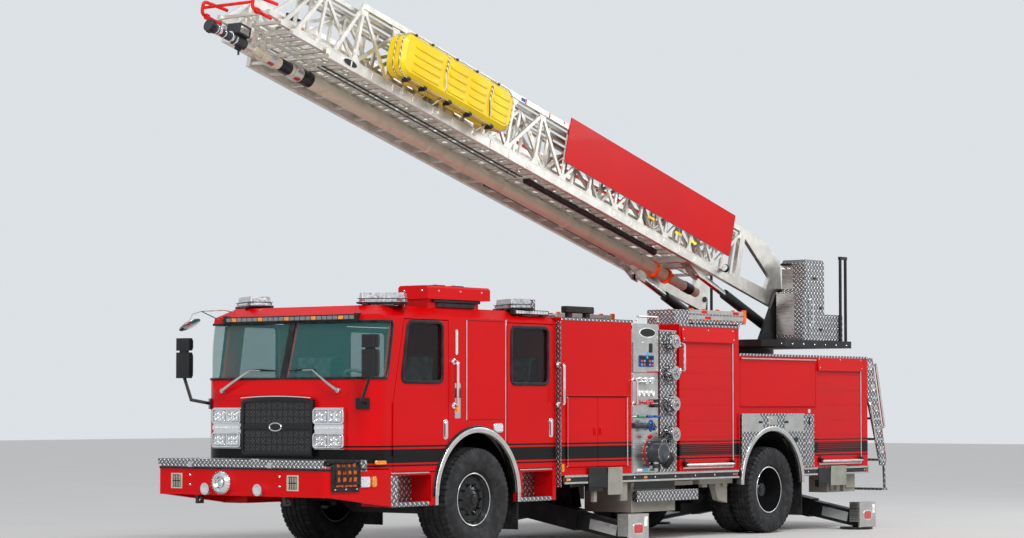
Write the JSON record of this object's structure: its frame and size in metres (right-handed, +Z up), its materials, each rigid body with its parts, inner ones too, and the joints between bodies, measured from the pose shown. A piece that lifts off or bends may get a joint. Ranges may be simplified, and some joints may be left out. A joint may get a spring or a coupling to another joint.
{
  "type": "aerial ladder fire engine",
  "caption": "Fire engine with a four-door cab, pump panel and locker body, carrying a raised telescopic truss ladder on a slewing turntable, with its outriggers set.",
  "frame": {"origin": "centre of the whole bounding box in plan, at the ground under the tyres and outrigger feet", "axes": "+X forward to the bumper and along the vehicle, +Y to the driver's side (the vehicle's left), +Z up"},
  "size_m": [11.706, 3.38, 5.9707],
  "materials": {
    "red_paint": "gloss",
    "black_paint": "satin",
    "treadplate": "treadplate",
    "stainless": "brushed",
    "chrome": "polished",
    "ladder_alloy": "satin",
    "glass": "tinted",
    "tyre": "matte",
    "wheel_paint": "gloss black with a bright lip",
    "lamp_plastic": "clear",
    "trim_plastic": "matte",
    "cast_iron": "painted black",
    "basket_plastic": "gloss",
    "mirror_black": "gloss"
  },
  "bodies": {
    "chassis": {"frame_rails": "black_paint", "turntable_pedestal": "black_paint", "axles": "cast_iron", "engine_block": "cast_iron", "bumper": "red_paint", "bumper_deck": "treadplate", "bumper_fittings": "chrome", "cab_shell": "red_paint", "windscreen": "glass", "grille": "black_paint", "headlamps": "chrome", "mirrors": "mirror_black", "light_bars": "lamp_plastic", "roof_condenser": "red_paint", "cab_interior": "trim_plastic", "arch_trims": "stainless", "module_shell": "red_paint", "pump_panels": "stainless", "body_shell": "red_paint", "roll_shutters": "red_paint", "rub_rails": "treadplate", "rear_stairs": "treadplate", "roof_gear": "treadplate", "outrigger_sleeves": "black_paint", "underbody_boxes": "treadplate"},
    "knuckle_left": {"knuckle_left": "cast_iron"},
    "knuckle_right": {"knuckle_right": "cast_iron"},
    "front_wheel_left": {"front_tyre_left": "tyre", "front_rim_left": "wheel_paint"},
    "front_wheel_right": {"front_tyre_right": "tyre", "front_rim_right": "wheel_paint"},
    "rear_wheels_left": {"rear_tyres_left": "tyre", "rear_rims_left": "wheel_paint"},
    "rear_wheels_right": {"rear_tyres_right": "tyre", "rear_rims_right": "wheel_paint"},
    "front_door_left": {"front_door_left": "red_paint"},
    "front_door_right": {"front_door_right": "red_paint"},
    "rear_door_left": {"rear_door_left": "red_paint"},
    "rear_door_right": {"rear_door_right": "red_paint"},
    "locker_leaf_front_left": {"locker_leaf_front_left": "red_paint"},
    "locker_leaf_front_right": {"locker_leaf_front_right": "red_paint"},
    "locker_leaf_rear_left": {"locker_leaf_rear_left": "red_paint"},
    "locker_leaf_rear_right": {"locker_leaf_rear_right": "red_paint"},
    "lift_door_left": {"lift_door_left": "red_paint"},
    "lift_door_right": {"lift_door_right": "red_paint"},
    "turntable": {"turntable_deck": "black_paint", "turntable_console": "treadplate"},
    "lift_barrels": {"lift_barrels": "black_paint"},
    "lift_rods": {"lift_rods": "chrome"},
    "ladder_base": {"ladder_base": "ladder_alloy", "sign_boards": "red_paint", "rescue_basket": "basket_plastic"},
    "ladder_lower_mid": {"ladder_lower_mid": "ladder_alloy"},
    "ladder_upper_mid": {"ladder_upper_mid": "ladder_alloy"},
    "ladder_fly": {"ladder_fly": "ladder_alloy", "monitor": "black_paint"},
    "outrigger_front_left": {"outrigger_front_left": "black_paint"},
    "outrigger_front_right": {"outrigger_front_right": "black_paint"},
    "outrigger_rear_left": {"outrigger_rear_left": "black_paint"},
    "outrigger_rear_right": {"outrigger_rear_right": "black_paint"}
  },
  "joints": [
    {"name": "steer_left", "type": "hinge", "parent": "chassis", "child": "knuckle_left", "pos_m": [2.86, 0.9, 0.57], "axis": [0, 0, 1], "range_deg": [-40, 40]},
    {"name": "front_wheel_spin_left", "type": "hinge", "parent": "knuckle_left", "child": "front_wheel_left", "pos_m": [2.86, 0.995, 0.57], "axis": [0, 1, 0], "continuous": true},
    {"name": "rear_wheel_spin_left", "type": "hinge", "parent": "chassis", "child": "rear_wheels_left", "pos_m": [-2.995, 0.93, 0.54], "axis": [0, 1, 0], "continuous": true},
    {"name": "front_door_hinge_left", "type": "hinge", "parent": "chassis", "child": "front_door_left", "pos_m": [4.279, 1.2093, 1.34], "axis": [0, 0, -1], "range_deg": [0, 75]},
    {"name": "rear_door_hinge_left", "type": "hinge", "parent": "chassis", "child": "rear_door_left", "pos_m": [2.342, 1.2093, 1.7], "axis": [0, 0, -1], "range_deg": [0, 75]},
    {"name": "locker_hinge_front_left", "type": "hinge", "parent": "chassis", "child": "locker_leaf_front_left", "pos_m": [1.325, 1.2693, 1.29], "axis": [0, 0, -1], "range_deg": [0, 100]},
    {"name": "locker_hinge_rear_left", "type": "hinge", "parent": "chassis", "child": "locker_leaf_rear_left", "pos_m": [0.125, 1.2693, 1.29], "axis": [0, 0, 1], "range_deg": [0, 100]},
    {"name": "lift_door_hinge_left", "type": "hinge", "parent": "chassis", "child": "lift_door_left", "pos_m": [-3.132, 1.2693, 2.173], "axis": [1, 0, 0], "range_deg": [0, 95]},
    {"name": "steer_right", "type": "hinge", "parent": "chassis", "child": "knuckle_right", "pos_m": [2.86, -0.9, 0.57], "axis": [0, 0, 1], "range_deg": [-40, 40]},
    {"name": "front_wheel_spin_right", "type": "hinge", "parent": "knuckle_right", "child": "front_wheel_right", "pos_m": [2.86, -0.995, 0.57], "axis": [0, 1, 0], "continuous": true},
    {"name": "rear_wheel_spin_right", "type": "hinge", "parent": "chassis", "child": "rear_wheels_right", "pos_m": [-2.995, -0.93, 0.54], "axis": [0, 1, 0], "continuous": true},
    {"name": "front_door_hinge_right", "type": "hinge", "parent": "chassis", "child": "front_door_right", "pos_m": [4.279, -1.2093, 1.34], "axis": [0, 0, 1], "range_deg": [0, 75]},
    {"name": "rear_door_hinge_right", "type": "hinge", "parent": "chassis", "child": "rear_door_right", "pos_m": [2.342, -1.2093, 1.7], "axis": [0, 0, 1], "range_deg": [0, 75]},
    {"name": "locker_hinge_front_right", "type": "hinge", "parent": "chassis", "child": "locker_leaf_front_right", "pos_m": [1.325, -1.2693, 1.29], "axis": [0, 0, 1], "range_deg": [0, 100]},
    {"name": "locker_hinge_rear_right", "type": "hinge", "parent": "chassis", "child": "locker_leaf_rear_right", "pos_m": [0.125, -1.2693, 1.29], "axis": [0, 0, -1], "range_deg": [0, 100]},
    {"name": "lift_door_hinge_right", "type": "hinge", "parent": "chassis", "child": "lift_door_right", "pos_m": [-3.132, -1.2693, 2.173], "axis": [-1, 0, 0], "range_deg": [0, 95]},
    {"name": "outrigger_slide_front_left", "type": "slide", "parent": "chassis", "child": "outrigger_front_left", "axis": [0, 0.9833, -0.1822], "range_m": [-0.38, 0]},
    {"name": "outrigger_slide_front_right", "type": "slide", "parent": "chassis", "child": "outrigger_front_right", "axis": [0, -0.9833, -0.1822], "range_m": [-0.38, 0]},
    {"name": "outrigger_slide_rear_right", "type": "slide", "parent": "chassis", "child": "outrigger_rear_right", "axis": [0, -0.9833, -0.1822], "range_m": [-0.38, 0]},
    {"name": "outrigger_slide_rear_left", "type": "slide", "parent": "chassis", "child": "outrigger_rear_left", "axis": [0, 0.9833, -0.1822], "range_m": [-0.38, 0]},
    {"name": "turntable_slew", "type": "hinge", "parent": "chassis", "child": "turntable", "pos_m": [-3.965, 0, 2.4], "axis": [0, 0, 1], "continuous": true},
    {"name": "ladder_raise", "type": "hinge", "parent": "turntable", "child": "ladder_base", "pos_m": [-4.165, 0, 3], "axis": [0, -1, 0], "range_deg": [-15.4, 56.6]},
    {"name": "lift_barrel_pivot", "type": "hinge", "parent": "turntable", "child": "lift_barrels", "pos_m": [-4.275, 0, 2.55], "axis": [0, -1, 0], "range_deg": [-14, 48]},
    {"name": "lift_rod_slide", "type": "slide", "parent": "lift_barrels", "child": "lift_rods", "axis": [0.9292, 0, 0.3697], "range_m": [-0.08, 0.28]},
    {"name": "extend_lower_mid", "type": "slide", "parent": "ladder_base", "child": "ladder_lower_mid", "axis": [0.9641, 0, 0.2656], "range_m": [0, 6.7]},
    {"name": "extend_upper_mid", "type": "slide", "parent": "ladder_lower_mid", "child": "ladder_upper_mid", "axis": [0.9641, 0, 0.2656], "range_m": [0, 6.7]},
    {"name": "extend_fly", "type": "slide", "parent": "ladder_upper_mid", "child": "ladder_fly", "axis": [0.9641, 0, 0.2656], "range_m": [0, 6.7]}
  ],
  "couplings": [
    {"joint": "steer_right", "follows": "steer_left", "ratio": 1},
    {"joint": "extend_upper_mid", "follows": "extend_lower_mid", "ratio": 1},
    {"joint": "extend_fly", "follows": "extend_lower_mid", "ratio": 1},
    {"joint": "lift_barrel_pivot", "follows": "ladder_raise", "ratio": 0.82},
    {"joint": "lift_rod_slide", "follows": "ladder_raise", "m_per_rad": 0.27}
  ]
}
